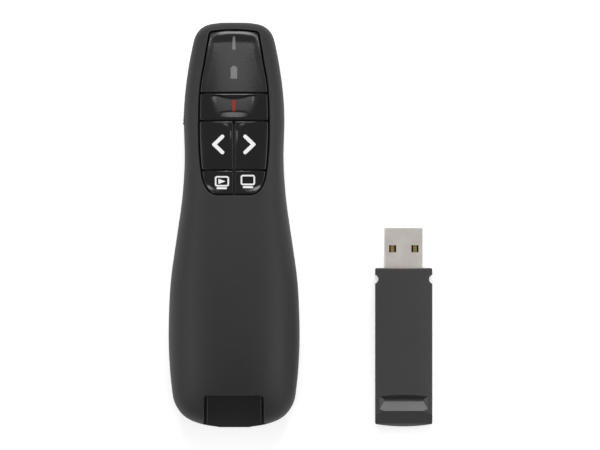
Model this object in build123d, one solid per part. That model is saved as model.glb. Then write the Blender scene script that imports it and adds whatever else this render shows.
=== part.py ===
from build123d import *
import math
import os

os.makedirs("parts", exist_ok=True)

# Frame: the handset lies on its flat underside at z = 0 with its keys up.  +Y points to the nose,
# where the laser leaves, +X to the right, and the origin is under the middle of the handset.
# The receiver lies beside the handset on the same surface.  Everything is in millimetres.

# ---------------------------------------------------------------- driving dimensions
# handset casing
body_length = 125.0
body_width = 40.5
body_height = 27.0
wall = 1.8
parting_height = 12.0
seam_height = 0.2
seam_depth = 0.3
lip_height = 1.1
lip_thickness = 0.8

# key window and keys: places are measured back from the nose tip
window_front = 2.2
window_back = 53.4
window_gap = 0.45
window_edge_round = 0.25
key_split = 0.55
key_row_gap = 0.42
panel_end = 21.8
laser_key_end = 30.4
main_keys_end = 45.6
key_thickness = 1.6
key_recess = 0.12
key_travel = 0.4
key_edge_round = 0.25
key_corner = 0.5
frame_thickness = 1.1
# the window's right side from front to back: half width, distance back from the nose tip
WINDOW_SIDE = [(7.95, 4.1), (8.6, 7.9), (9.4, 12.8), (10.3, 17.8), (10.9, 25.8), (10.92, 36.5), (10.0, 47.4)]
frame_flange = 1.3

# hollows in the tops of the panel and keys
panel_thickness = 1.9
panel_scoop = 0.9
scoop_start = 0.8
panel_rim = 0.9
laser_scoop = 0.5
dish_radius = 15.0
dish_depth = 0.55

# power switch in the left side, with the knob's place measured back from the nose tip
knob_length = 4.0
knob_height = 2.8
knob_end = 31.5
knob_proud = 0.28
knob_ramp = 3.5
knob_groove = 0.12
switch_travel = 2.5

# circuit board and tact switches
board_thickness = 1.0
board_bottom = 15.7
board_end = 53.9
board_front = 8.5
board_width = 19.2
tact_size = 4.5
tact_height = 2.4
plunger_diameter = 2.2
plunger_height = 0.9

# laser module on the parting plane
barrel_diameter = 6.5
barrel_length = 14.0
barrel_front = 2.6
laser_window_diameter = 4.2
laser_window_thickness = 1.1

# cells, contacts and battery door
cell_diameter = 10.5
cell_length = 44.5
cell_pitch = 11.0
cell_clearance = 0.3
cell_tail_space = 12.0
spring_length = 2.9
spring_radius = 3.0
spring_wire = 0.45
spring_turns = 3.5
contact_sheet = 0.4
partition = 1.2
door_width = 24.4
door_seam_height = 4.3
door_overrun = 2.45
door_gap = 0.25
rail_sheet = 0.75
rail_gap = 0.3

# receiver and its plug
receiver_width = 17.7
receiver_length = 49.1
receiver_thickness = 7.6
receiver_wall = 1.0
receiver_offset = 52.5
receiver_crown = 0.9
receiver_bow = 0.77
receiver_corner = 0.5
receiver_edge_round = 0.35
notch_radius = 1.4
notch_back = 3.45
pocket_start = 9.9
pocket_depth = 1.8
pocket_half_width = 5.8
crest_start = 4.6
crest_height = 7.2
plug_width = 12.0
plug_thickness = 4.5
plug_length = 12.4
plug_sheet = 0.3
latch_hole = 2.2
latch_hole_pitch = 6.9
latch_hole_back = 6.4

# receiver bay in the tail
bay_clearance = 0.35
bay_floor = 1.2
bay_wall = 1.1
bay_rail_height = 0.35
cutout_length = 10.1
cutout_corner = 1.2
cutout_edge_round = 0.6

# case screws
screw_diameter = 2.0
screw_head_diameter = 3.8
screw_head_height = 1.3
screw_length = 11.0
screw_seat = 4.4
boss_diameter = 4.6
front_screw_x = 12.2
front_screw_clear = 3.7
tail_screw_x = 15.0
tail_screw_place = 11.5

# ---------------------------------------------------------------- worked out from them
nose_y = body_length / 2
tail_y = -body_length / 2
far = 80.0
cell_radius = cell_diameter / 2
cell_height = wall + cell_clearance + cell_radius
cell_tail_y = tail_y + cell_tail_space
cell_front_y = cell_tail_y + cell_length
compartment_front = cell_front_y + spring_length + contact_sheet + 0.05
compartment_tail = cell_tail_y - spring_length - contact_sheet - 0.05
door_front = compartment_front + partition + door_overrun
bay_floor_bottom = cell_height + cell_radius + cell_clearance
bay_floor_top = bay_floor_bottom + bay_floor
bay_half_width = receiver_width / 2 + bay_clearance
bay_roof = bay_floor_top + bay_rail_height + receiver_thickness + bay_clearance
laser_z = parting_height
board_y_low = nose_y - board_end
board_y_high = nose_y - board_front
led_y = board_y_high - 2.2
board_top = board_bottom + board_thickness
tact_top = board_top + tact_height
plunger_top = tact_top + plunger_height

# Outline stations from nose to tail.  A row holds shares: its place along half the length, half
# width of half the width, top and bottom of the height, and the fullness of its upper curve.
# The lowest stations dip under z = 0, where the underside is cut flat.
STATIONS = [
    (0.9992, 0.227, 0.556, 0.356, 0.60),
    (0.9904, 0.390, 0.604, 0.319, 0.64),
    (0.9760, 0.484, 0.644, 0.278, 0.68),
    (0.9584, 0.543, 0.674, 0.244, 0.72),
    (0.9280, 0.598, 0.707, 0.211, 0.76),
    (0.8720, 0.642, 0.741, 0.178, 0.78),
    (0.7680, 0.701, 0.778, 0.144, 0.80),
    (0.6400, 0.751, 0.811, 0.111, 0.80),
    (0.5120, 0.768, 0.841, 0.078, 0.80),
    (0.3200, 0.755, 0.878, 0.037, 0.78),
    (0.1280, 0.793, 0.915, 0.002, 0.74),
    (-0.0640, 0.877, 0.952, -0.015, 0.70),
    (-0.2880, 0.970, 0.985, -0.018, 0.66),
    (-0.5280, 1.000, 1.000, -0.018, 0.64),
    (-0.6880, 0.985, 0.974, -0.015, 0.64),
    (-0.8000, 0.953, 0.922, -0.002, 0.64),
    (-0.8720, 0.914, 0.863, 0.022, 0.64),
    (-0.9264, 0.817, 0.800, 0.067, 0.64),
    (-0.9600, 0.691, 0.748, 0.137, 0.62),
    (-0.9840, 0.494, 0.693, 0.237, 0.60),
    (-0.9992, 0.227, 0.644, 0.341, 0.56),
]
lower_fullness = 0.95


# ---------------------------------------------------------------- shape helpers
def midway(before, low, high, after):
    """Station halfway between low and high on a smooth curve through all four."""
    return tuple((9 * (b + c) - a - d) / 16 for a, b, c, d in zip(before, low, high, after))


def smooth_stations():
    rows = []
    last = len(STATIONS) - 1
    for i, row in enumerate(STATIONS):
        rows.append(row)
        if i < last:
            following = STATIONS[i + 1]
            before = STATIONS[i - 1] if i > 0 else tuple(2 * a - b for a, b in zip(row, following))
            after = STATIONS[i + 2] if i + 1 < last else tuple(2 * b - a for a, b in zip(row, following))
            rows.append(midway(before, row, following, after))
    return rows


def station_sizes(row, inset):
    place, width_share, top_share, bottom_share, fullness = row
    y = place * (body_length / 2 - inset)
    half_width = width_share * body_width / 2 - inset
    top = top_share * body_height - inset
    bottom = bottom_share * body_height + inset
    return y, half_width, top, bottom, fullness


def full_curve(half, y, tip, fullness, shoulder):
    """Section half from side to side through its tip, as one symmetric curve of degree five."""
    base = parting_height
    rise = (tip - base) * 32 / (20 + 10 * shoulder)
    points = [
        (half, y, base),
        (half, y, base + shoulder * rise),
        (fullness * half, y, base + rise),
        (-fullness * half, y, base + rise),
        (-half, y, base + shoulder * rise),
        (-half, y, base),
    ]
    return Wire([Edge.make_bezier(*points), Edge.make_line(points[-1], points[0])])


def upper_form(inset):
    """Everything above the parting plane, inside the outer surface by the inset."""
    sections = []
    for row in smooth_stations():
        y, half, top, _, full = station_sizes(row, inset)
        sections.append(full_curve(half, y, top, full + 0.06, full - 0.02))
    return Solid.make_loft(sections)


def lower_form(inset):
    """Everything below the parting plane, inside the outer surface by the inset."""
    sections = []
    for row in smooth_stations():
        y, half, _, bottom, _ = station_sizes(row, inset)
        sections.append(full_curve(half, y, bottom, lower_fullness, lower_fullness))
    return Solid.make_loft(sections)


def parting_outline(inset):
    """Plan of the casing at the parting plane, drawn in by the inset."""
    rows = [station_sizes(row, inset) for row in smooth_stations()]
    right = [(half, y) for y, half, *_ in rows]
    left = [(-half, y) for half, y in right]
    return make_face([Spline(right), Line(right[-1], left[-1]), Spline(left[::-1]), Line(left[0], right[0])])


def block(x_low, x_high, y_low, y_high, z_low, z_high):
    size = (x_high - x_low, y_high - y_low, z_high - z_low)
    middle = ((x_low + x_high) / 2, (y_low + y_high) / 2, (z_low + z_high) / 2)
    return Pos(*middle) * Box(*size)


def post(x, y, z_low, z_high, diameter):
    return Pos(x, y, (z_low + z_high) / 2) * Cylinder(diameter / 2, z_high - z_low)


def rod(x, z, y_low, y_high, diameter):
    """Cylinder along Y."""
    return Pos(x, (y_low + y_high) / 2, z) * Rot(90, 0, 0) * Cylinder(diameter / 2, y_high - y_low)


def upright(plan, z_low=parting_height, z_high=far):
    """Plan face drawn up from one height to another."""
    return Pos(0, 0, z_low) * extrude(plan, z_high - z_low)


def side_cut(profile, half_width, centre_x=0.0):
    """Solid with a profile of (y, z) points, across the given half width."""
    face = Face(Wire.make_polygon([(centre_x - half_width, y, z) for y, z in profile], close=True))
    return extrude(face, amount=2 * half_width, dir=(1, 0, 0))


def single(shape):
    """The largest solid of a result, so that no loose sliver is kept."""
    return max(shape.solids(), key=lambda solid: solid.volume)


def save(shape, name):
    export_step(shape, "parts/" + name + ".step")


outer_top = upper_form(0)
inner_top = upper_form(wall)
outer_low = lower_form(0) & block(-far, far, -far, far, 0, far)
inner_low = lower_form(wall)


# ---------------------------------------------------------------- key window in plan
def window_outline(inset=0.0):
    """Face with the window's outline: an arched front edge, bowed sides and a round back."""
    corner_x = 6.6 - 0.2 * inset
    corner_y = nose_y - window_front - 0.55 - inset
    side = [(x - inset, nose_y - back) for x, back in WINDOW_SIDE]
    back_y = nose_y - window_back + inset
    back_corner = (4.8, back_y)
    front = ThreePointArc((-corner_x, corner_y), (0, nose_y - window_front - inset), (corner_x, corner_y))
    turn_low = (7.8 - inset, side[0][1] + 0.75)
    turn = Bezier((corner_x, corner_y), (7.45 - inset, corner_y - 0.1), turn_low, side[0])
    bow = Spline(side, tangents=[(0.12, -1), (-0.16, -1)])
    heel = Bezier(side[-1], (9.5 - inset, side[-1][1] - 3.1), (7.9 - inset, back_y), back_corner)
    right = [turn, bow, heel]
    left = [edge.mirror(Plane.YZ) for edge in right]
    back = Line(back_corner, (-back_corner[0], back_y))
    return make_face([front, *right, back, *left])


window_plan = window_outline()
key_plan = window_outline(window_gap)


def key_area(front_back, end_back, x_low=-far, x_high=far):
    """Part of the key outline between two distances from the nose, with its cut corners rounded."""
    front_y = nose_y - front_back
    end_y = nose_y - end_back
    strip = Pos((x_low + x_high) / 2, (front_y + end_y) / 2) * Rectangle(x_high - x_low, front_y - end_y)
    plan = key_plan & strip
    corners = []
    for vertex in plan.vertices():
        from_sides = min(abs(vertex.X - x_low), abs(vertex.X - x_high))
        from_ends = min(abs(vertex.Y - front_y), abs(vertex.Y - end_y))
        if min(from_sides, from_ends) < 0.001:
            corners.append(vertex)
    return fillet(corners, key_corner)


def key_blank(plan, thickness=key_thickness):
    """Key cap whose top lies just under the casing's surface, with its upper edges rounded."""
    cap = (upright(plan) & upper_form(key_recess)) - upper_form(key_recess + thickness)
    cap = single(cap)
    top_face = cap.faces().sort_by(Axis.Z)[-1]
    return fillet(top_face.edges(), key_edge_round)


def crown_point(x, y, inset=key_recess):
    """Place on the top surface above a point in plan."""
    surface = upper_form(inset)
    hits = surface.find_intersection_points(Axis((x, y, 0), (0, 0, 1)))
    return max((point for point, _ in hits), key=lambda point: point.Z)


def outer_edges(shape, y_low, y_high, half):
    """Edges of a shape on the casing's upper surface, inside an area in plan and clear of the parting."""
    found = []
    for edge in shape.edges():
        middle = edge.position_at(0.5)
        inside = y_low < middle.Y < y_high and abs(middle.X) < half and middle.Z > parting_height + 2
        if inside and abs(middle.Z - crown_point(middle.X, middle.Y, 0).Z) < 0.01:
            found.append(edge)
    return found


def lowered_crown(pivot_y, angle, drop=0.0):
    """The crown tilted nose down about a line across it, as the floor of a hollow."""
    pivot = crown_point(0, pivot_y)
    place = Pos(0, pivot.Y, pivot.Z - drop) * Rot(-angle, 0, 0) * Pos(0, -pivot.Y, -pivot.Z)
    return place * upper_form(key_recess)


# ---------------------------------------------------------------- window panel and keys
half_split = key_split / 2
half_row = key_row_gap / 2


def scoop_outline():
    """Plan of the panel's scoop, one rim width inside its arched front and its spreading sides."""
    front_y = nose_y - window_front - window_gap - panel_rim
    side = [(6.55, front_y - 0.5), (7.25, 54.6), (8.05, 49.7), (8.95, 44.7), (9.35, 40.0)]
    flank = Spline(side)
    arch = ThreePointArc((-side[0][0], side[0][1]), (0, front_y), side[0])
    back = Line(side[-1], (-side[-1][0], side[-1][1]))
    plan = make_face([arch, flank, back, flank.mirror(Plane.YZ)])
    return fillet(plan.vertices().sort_by(Axis.Y)[-2:], 0.9)


def build_front_panel():
    """Smoked panel with a scoop that deepens from its back edge to a raised rim at the nose."""
    panel = key_blank(key_area(0, panel_end - half_row), panel_thickness)
    panel &= block(-far, far, -far, far, laser_z + barrel_diameter / 2 + 0.15, far)
    start_y = nose_y - panel_end + half_row + scoop_start
    front_y = nose_y - window_front - window_gap
    angle = math.degrees(math.atan2(panel_scoop, front_y - start_y))
    scoop = upright(scoop_outline()) - lowered_crown(start_y, angle)
    return single(panel - scoop)


def build_laser_key():
    """Wide key with a shallow funnel-shaped hollow that ends in a lens-shaped lip."""
    key = key_blank(key_area(panel_end + half_row, laser_key_end - half_row))
    front_y = nose_y - panel_end - 1.0
    back_y = nose_y - laser_key_end + 0.9
    corners = [(-8.0, front_y), (8.0, front_y), (5.6, back_y), (-5.6, back_y)]
    hollow_plan = fillet(Polygon(*corners, align=None).vertices(), 0.9)
    hollow = upright(hollow_plan) - lowered_crown(front_y, 0, laser_scoop)
    key = single(key - hollow)
    return single(key + key_nib(0, laser_key_y))


def plunger_meets(x, y):
    """Height where a plunger meets its key, kept under the key's underside at the plunger's nose side."""
    lowest = crown_point(x, y + plunger_diameter / 2, key_recess + key_thickness)
    return min(plunger_top, lowest.Z - 0.05)


def key_nib(x, y):
    """Peg under a key that presses its tact plunger."""
    under = crown_point(x, y, key_recess + key_thickness)
    return post(x, y, plunger_meets(x, y), under.Z + 0.3, plunger_diameter)


def build_main_key(side):
    """Back or next key, beside the centre split."""
    x_low, x_high = sorted((side * half_split, side * far))
    key = key_blank(key_area(laser_key_end + half_row, main_keys_end - half_row, x_low, x_high))
    return single(key + key_nib(side * main_key_x, main_key_y))


def build_small_key(side):
    """Corner key with a round dish."""
    x_low, x_high = sorted((side * half_split, side * far))
    key = key_blank(key_area(main_keys_end + half_row, far, x_low, x_high))
    top = crown_point(side * small_key_x, small_key_y)
    ball_z = top.Z - dish_depth + dish_radius
    key -= Pos(side * small_key_x, small_key_y, ball_z) * Sphere(dish_radius)
    return single(key + key_nib(side * small_key_x, small_key_y))


laser_key_y = nose_y - (panel_end + laser_key_end) / 2
main_key_x = 5.2
main_key_y = nose_y - (laser_key_end + main_keys_end) / 2
small_key_x = 4.9
small_key_y = nose_y - (main_keys_end + window_back) / 2 + 0.3

KEYS = {
    "laser_key": (0.0, laser_key_y),
    "back_key": (-main_key_x, main_key_y),
    "next_key": (main_key_x, main_key_y),
    "slideshow_key": (-small_key_x, small_key_y),
    "blank_screen_key": (small_key_x, small_key_y),
}
front_panel = build_front_panel()
save(front_panel, "front_panel")
save(build_laser_key(), "laser_key")
save(build_main_key(-1), "back_key")
save(build_main_key(1), "next_key")
save(build_small_key(-1), "slideshow_key")
save(build_small_key(1), "blank_screen_key")

# ---------------------------------------------------------------- key frame under the keys
frame_top = key_recess + max(key_thickness + key_travel, panel_thickness) + 0.15
frame_plan = window_outline(-frame_flange)
frame_outer = upright(frame_plan) & upper_form(wall + 0.05)
frame_outer &= block(-far, far, -far, nose_y - window_front - 0.4, board_top + 0.2, far)
key_frame = frame_outer - upper_form(frame_top + frame_thickness)
key_frame -= upright(window_outline(0.05)) - upper_form(frame_top)
for x, y in KEYS.values():
    key_frame -= block(x - 2.8, x + 2.8, y - 2.8, y + 2.8, board_top, far)
key_frame -= block(-1.4, 1.4, led_y - 1.5, led_y + 1.5, board_top, far)
key_frame = single(key_frame)
save(key_frame, "key_frame")

# ---------------------------------------------------------------- circuit board, switches and chips
board_half = board_width / 2
nose_half = board_half - 3.4
main_board = block(-board_half, board_half, board_y_low, board_y_high - 10.0, board_bottom, board_top)
main_board += block(-nose_half, nose_half, board_y_high - 10.0, board_y_high, board_bottom, board_top)
save(main_board, "main_board")

tact_bodies = []
for name, (x, y) in KEYS.items():
    half = tact_size / 2
    body = block(x - half, x + half, y - half, y + half, board_top, tact_top)
    body -= post(x, y, tact_top - 0.8, tact_top + 0.1, plunger_diameter + 0.3)
    tact_bodies.append(chamfer(body.faces().sort_by(Axis.Z)[-1].outer_wire().edges(), 0.25))
    plunger_foot = tact_top - 0.8 + key_travel + 0.05
    plunger = post(x, y, plunger_foot, plunger_meets(x, y), plunger_diameter)
    save(plunger, name.replace("_key", "") + "_switch_plunger")
save(Compound(children=tact_bodies), "tact_switch_bodies")

# radio chip, crystal and capacitor on the board's underside, clear of the laser and the switch
chip_y = board_y_low + 13.0
chips = [
    block(-3.2, 3.2, chip_y, chip_y + 6.4, board_bottom - 1.0, board_bottom),
    block(4.6, 7.0, chip_y + 1.0, chip_y + 5.0, board_bottom - 0.8, board_bottom),
    block(-6.6, -4.6, chip_y - 4.5, chip_y - 0.5, board_bottom - 1.4, board_bottom),
]
save(Compound(children=chips), "board_chips")

status_led = block(-0.8, 0.8, led_y - 0.5, led_y + 0.5, board_top, board_top + 0.4)
status_led += post(0, led_y, board_top + 0.4, board_top + 0.75, 0.9)
save(status_led, "status_led")

# ---------------------------------------------------------------- power switch
knob_y_low = nose_y - knob_end
knob_y_high = knob_y_low + knob_length
knob_clear = 0.15
knob_z_low = parting_height + 0.3
knob_z_high = knob_z_low + knob_height
switch_x_high = -board_half + 1.6
switch_x_low = switch_x_high - 3.6
stem_z = (knob_z_low + knob_z_high) / 2
switch_body = block(switch_x_low, switch_x_high, knob_y_low - 1.8, knob_y_high + switch_travel + 1.8,
                    knob_z_low, board_bottom)
knob_y_last = knob_y_high + switch_travel
stem_slot = block(switch_x_low - 0.1, switch_x_low + 1.4, knob_y_low + 0.9, knob_y_last - 0.9,
                  stem_z - 0.75, stem_z + 0.75)
switch_body -= stem_slot
save(switch_body, "power_switch_body")


def knob_form(proud):
    """Outer form swung about the knob's tail end, so that the knob ramps up towards the tail."""
    half = body_width / 2
    return Pos(-half, knob_y_low) * Rot(0, 0, -knob_ramp) * Pos(half, -knob_y_low) * upper_form(-proud)


knob = block(-far, switch_x_low - 0.25, knob_y_low, knob_y_high, knob_z_low, knob_z_high)
knob &= knob_form(knob_proud)
knob_core = knob_form(knob_proud - knob_groove)
for i in range(3):
    groove_y = knob_y_low + 0.9 + 1.1 * i
    groove = block(-far, 0, groove_y - 0.2, groove_y + 0.2, knob_z_low, knob_z_high)
    knob -= groove - knob_core
stem = block(switch_x_low - 0.5, switch_x_low + 1.2, knob_y_low + 1.2, knob_y_high - 1.2,
             stem_z - 0.6, stem_z + 0.6)
save(single(knob + stem), "power_switch_knob")
knob_slot = block(-far, switch_x_low + 0.5, knob_y_low - knob_clear, knob_y_last + knob_clear,
                  parting_height - 0.1, knob_z_high + knob_clear)

# ---------------------------------------------------------------- laser module
barrel_y_high = nose_y - barrel_front
barrel_y_low = barrel_y_high - barrel_length
barrel = rod(0, laser_z, barrel_y_low, barrel_y_high, barrel_diameter)
barrel -= rod(0, laser_z, barrel_y_low - 1, barrel_y_high - 1.0, barrel_diameter - 2.0)
barrel -= rod(0, laser_z, barrel_y_low - 1, barrel_y_high + 1, barrel_diameter / 2)
for i in range(3):
    groove_y = barrel_y_high - 2.5 - 1.0 * i
    ring = rod(0, laser_z, groove_y, groove_y + 0.4, barrel_diameter + 1)
    barrel -= ring - rod(0, laser_z, groove_y - 1, groove_y + 1, barrel_diameter - 0.5)
save(barrel, "laser_barrel")
lens_y = barrel_y_high - 1.0
lens = rod(0, laser_z, lens_y - 1.6, lens_y, barrel_diameter - 2.02)
lens = fillet(lens.faces().sort_by(Axis.Y)[0].edges(), 0.7)
save(lens, "laser_lens")
diode = rod(0, laser_z, barrel_y_low - 1.0, barrel_y_low, barrel_diameter - 0.9)
diode += rod(0, laser_z, barrel_y_low, barrel_y_low + 2.5, barrel_diameter - 2.3)
for lead_x in (-1.2, 0.0, 1.2):
    diode += rod(lead_x, laser_z + 1.2, barrel_y_low - 3.4, barrel_y_low - 0.9, 0.45)
    diode += post(lead_x, barrel_y_low - 3.4 + 0.2, laser_z + 1.0, board_bottom, 0.45)
save(diode, "laser_diode")
window_y_high = nose_y - 0.25
window_y_low = window_y_high - laser_window_thickness
laser_window = rod(0, laser_z, window_y_low, window_y_high, laser_window_diameter - 0.02)
laser_window = chamfer(laser_window.faces().sort_by(Axis.Y)[-1].edges(), 0.15)
save(laser_window, "laser_window")
laser_bore = rod(0, laser_z, barrel_y_low - 4.0, barrel_y_high + 0.05, barrel_diameter + 0.1)
laser_bore += rod(0, laser_z, barrel_y_high, window_y_low, laser_window_diameter - 1.0)
laser_bore += rod(0, laser_z, window_y_low, nose_y + 1, laser_window_diameter)

# ---------------------------------------------------------------- receiver bay
cutout_y = tail_y + cutout_length
bay_stop_y = tail_y + receiver_length + bay_clearance
bay_outer_half = bay_half_width + bay_wall
bay = block(-bay_outer_half, bay_outer_half, tail_y - 1, bay_stop_y + bay_wall, bay_floor_bottom,
            bay_roof + bay_wall)
bay -= block(-bay_half_width, bay_half_width, tail_y - 2, bay_stop_y, bay_floor_top, bay_roof)
plug_z = bay_floor_top + bay_rail_height + receiver_thickness / 2
bay -= block(-plug_width / 2 - bay_clearance, plug_width / 2 + bay_clearance, bay_stop_y - 1, bay_stop_y + 5,
             plug_z - plug_thickness / 2 - bay_clearance, plug_z + plug_thickness / 2 + bay_clearance)
tail_plate = block(-bay_half_width + 0.08, bay_half_width - 0.08, tail_y - 1, cutout_y, bay_floor_bottom,
                   bay_floor_top)
bay_inside = bay & upper_form(wall + 0.03) & block(-far, far, cutout_y - 2.5, far, 0, far)
bay = bay_inside + (tail_plate & upper_form(0.05))
for side in (-1, 1):
    rail_x = side * (bay_half_width - 0.75)
    rail = block(rail_x - 0.35, rail_x + 0.35, tail_y, bay_stop_y, bay_floor_top - 0.1,
                 bay_floor_top + bay_rail_height)
    rail = fillet(rail.edges().filter_by(Axis.Y).sort_by(Axis.Z)[-2:], 0.3)
    bay += rail & upper_form(0.4)
arrow_y = tail_y + 3.2
arrow = Polygon((-1.5, arrow_y - 0.9), (0, arrow_y + 0.6), (1.5, arrow_y - 0.9), (1.1, arrow_y - 1.3),
                (0, arrow_y - 0.2), (-1.1, arrow_y - 1.3), align=None)
bay += upright(arrow, bay_floor_top - 0.05, bay_floor_top + 0.15)
save(bay, "receiver_bay")
cutout_half = bay_half_width + 0.02
bay_cut = block(-cutout_half, cutout_half, tail_y - 1, cutout_y, bay_floor_bottom - 0.05, far)
bay_cut = fillet(bay_cut.edges().filter_by(Axis.Z).sort_by(Axis.Y)[-2:], cutout_corner)

# ---------------------------------------------------------------- casing shells
SCREW_PLACES = []
for side in (-1, 1):
    SCREW_PLACES.append((side * front_screw_x, door_front + front_screw_clear))
    SCREW_PLACES.append((side * tail_screw_x, tail_y + tail_screw_place))
boss_gap = 0.15
screw_hole = screw_diameter + 0.02
top_cavity = inner_top
for x, y in SCREW_PLACES:
    top_cavity -= post(x, y, parting_height + boss_gap, far, boss_diameter)
top_shell = outer_top - top_cavity - upright(window_plan)
for x, y in SCREW_PLACES:
    top_shell -= post(x, y, parting_height - 1, screw_seat + screw_length + 0.3, screw_hole)
top_shell -= bay_cut
top_shell -= laser_bore
top_shell -= knob_slot
seam_plan = parting_outline(-1.0) - parting_outline(seam_depth)
top_shell -= upright(seam_plan, parting_height, parting_height + seam_height)
top_shell = single(top_shell)
window_edges = outer_edges(top_shell, nose_y - window_back - 0.1, nose_y - window_front + 0.1, body_width / 3)
top_shell = fillet(window_edges, window_edge_round)
cutout_edges = outer_edges(top_shell, tail_y, cutout_y + 0.1, cutout_half + 0.1)
top_shell = fillet(cutout_edges, cutout_edge_round)
save(top_shell, "top_shell")

# inside of the lower casing: bulkheads, door rails with ribs, posts and laser cradles
compartment_half = (cell_pitch + cell_diameter) / 2 + cell_clearance
rail_web = compartment_half + 0.95
rail_y_low = compartment_tail
rail_y_high = compartment_front
rail_floor = wall + rail_gap
rib_z_low = door_seam_height + 0.3

ribs = []
for y_low in (compartment_tail - partition, compartment_front):
    ribs.append(block(-far, far, y_low, y_low + partition, rib_z_low, far))
rails = []
for side in (-1, 1):
    web_low, web_high = sorted((side * rail_web, side * (rail_web + rail_sheet)))
    rails.append(block(web_low, web_high, rail_y_low - 0.5, rail_y_high + 0.5, rail_floor, far))
    foot_low, foot_high = sorted((side * (rail_web - 0.65), side * (rail_web + 0.1)))
    foot_top = rail_floor + rail_sheet
    rails.append(block(foot_low, foot_high, rail_y_low + 4, rail_y_high - 4, rail_floor, foot_top))
    rib_low, rib_high = sorted((side * (rail_web + rail_sheet / 2), side * far))
    for rib_y in (rail_y_low + 12, (rail_y_low + rail_y_high) / 2, rail_y_high - 12):
        ribs.append(block(rib_low, rib_high, rib_y - 0.6, rib_y + 0.6, rib_z_low, parting_height - 1.5))
board_posts = [(-nose_half + 1.2, board_y_high - 7.0), (nose_half - 1.2, board_y_high - 7.0),
               (-nose_half, board_y_low + 2.2), (nose_half, board_y_low + 2.2)]
posts = [post(x, y, 0, far, 3.0) for x, y in board_posts]
posts += [post(x, y, 0, parting_height - boss_gap, boss_diameter + 1.2) for x, y in SCREW_PLACES]
cradle_half = barrel_diameter / 2 + 1.2
for cradle_y in (barrel_y_low + 2.0, barrel_y_low + 7.0):
    posts.append(block(-cradle_half, cradle_half, cradle_y, cradle_y + 1.6, 0, far))


def lip_ring(inset, z_low, z_high):
    """Locating lip along both sides, open at the nose, the tail and the power switch."""
    ring = upright(parting_outline(inset), z_low, z_high)
    ring -= upright(parting_outline(wall + 0.1 + lip_thickness), z_low, z_high)
    ring &= block(-far, far, cutout_y + 1, nose_y - 6, z_low, z_high)
    return ring - block(-far, switch_x_high + 0.2, knob_y_low - 2.5, knob_y_last + 2.5, 0, far)


low_cavity = inner_low - lip_ring(wall - 0.3, parting_height - 1.2, parting_height + 1)
for piece in ribs + rails + posts:
    low_cavity -= piece
door_half = door_width / 2
door_opening = block(-door_half, door_half, tail_y - 1, door_front, -1, door_seam_height)
for piece in rails:
    door_opening -= piece
bottom_shell = outer_low - low_cavity - door_opening
lip = lip_ring(wall + 0.1, parting_height - 0.05, parting_height + lip_height)
for x, y in SCREW_PLACES:
    lip -= post(x, y, 0, far, boss_diameter + 1.4)
bottom_shell += lip
for x, y in board_posts:
    bottom_shell += post(x, y, parting_height - 1, board_bottom, 3.0)
bottom_shell -= laser_bore
for x, y in SCREW_PLACES:
    bottom_shell -= post(x, y, -1, screw_seat, screw_head_diameter + 0.4)
    bottom_shell -= post(x, y, -1, parting_height + 1, screw_diameter + 0.4)
bottom_shell = single(bottom_shell)
save(bottom_shell, "bottom_shell")

# ---------------------------------------------------------------- battery door
door_reach = door_half - door_gap
door_back = tail_y - 1
tail_wrap_y = compartment_tail - partition - 0.4
door_zone = block(-door_reach, door_reach, door_back, door_front - door_gap, -1, wall)
wrap_zone = block(-door_reach, door_reach, door_back, tail_wrap_y, -1, door_seam_height - door_gap)
battery_door = outer_low & door_zone
battery_door += (outer_low - lower_form(wall)) & wrap_zone
hook_z_low = rail_floor + rail_sheet + rail_gap
hook_z_high = hook_z_low + rail_sheet
flank_drop = cell_height - hook_z_high - cell_clearance
flank_half = math.sqrt(cell_radius**2 - flank_drop**2)
hook_leg = cell_pitch / 2 + flank_half
hook_y_low = rail_y_low + 6
hook_y_high = rail_y_high - 6
for side in (-1, 1):
    leg_low, leg_high = sorted((side * hook_leg, side * (hook_leg + rail_sheet)))
    hook_low, hook_high = sorted((side * hook_leg, side * (rail_web - rail_gap)))
    battery_door += block(leg_low, leg_high, hook_y_low, hook_y_high, wall - 0.1, hook_z_high)
    battery_door += block(hook_low, hook_high, hook_y_low, hook_y_high, hook_z_low, hook_z_high)
latch = block(-1.5, 1.5, door_front - 3.0, door_front + 2.2, wall + 0.25, wall + 1.05)
latch += block(-1.5, 1.5, door_front - 3.0, door_front - 1.0, wall - 0.1, wall + 1.05)
battery_door += latch
for i in range(5):
    groove_y = door_front - 6.0 - 2.2 * i
    battery_door -= block(-8.0, 8.0, groove_y - 0.5, groove_y + 0.5, -1, 0.5)
save(single(battery_door), "battery_door")

# ---------------------------------------------------------------- cells, contacts and springs
def cell(x, nub_up):
    """AAA cell with its positive nub to the nose or to the tail."""
    nub = 1.0
    y_low = cell_tail_y if nub_up else cell_tail_y + nub
    y_high = cell_front_y - nub if nub_up else cell_front_y
    can = rod(x, cell_height, y_low, y_high, cell_diameter)
    rims = can.faces().sort_by(Axis.Y)
    can = fillet(rims[0].edges() + rims[-1].edges(), 0.5)
    nub_low, nub_high = (y_high, cell_front_y) if nub_up else (cell_tail_y, y_low)
    return can + rod(x, cell_height, nub_low, nub_high, 3.8)


cell_x = cell_pitch / 2
save(cell(-cell_x, True), "battery_left")
save(cell(cell_x, False), "battery_right")

plate_z_low = rib_z_low - 0.3
plate_z_high = parting_height - 0.2
front_plate_y = compartment_front - contact_sheet
tail_plate_y = compartment_tail
plate_half = compartment_half - 0.25


def contact_plate(x_low, x_high, y_low):
    return block(x_low, x_high, y_low, y_low + contact_sheet, plate_z_low, plate_z_high)


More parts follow.
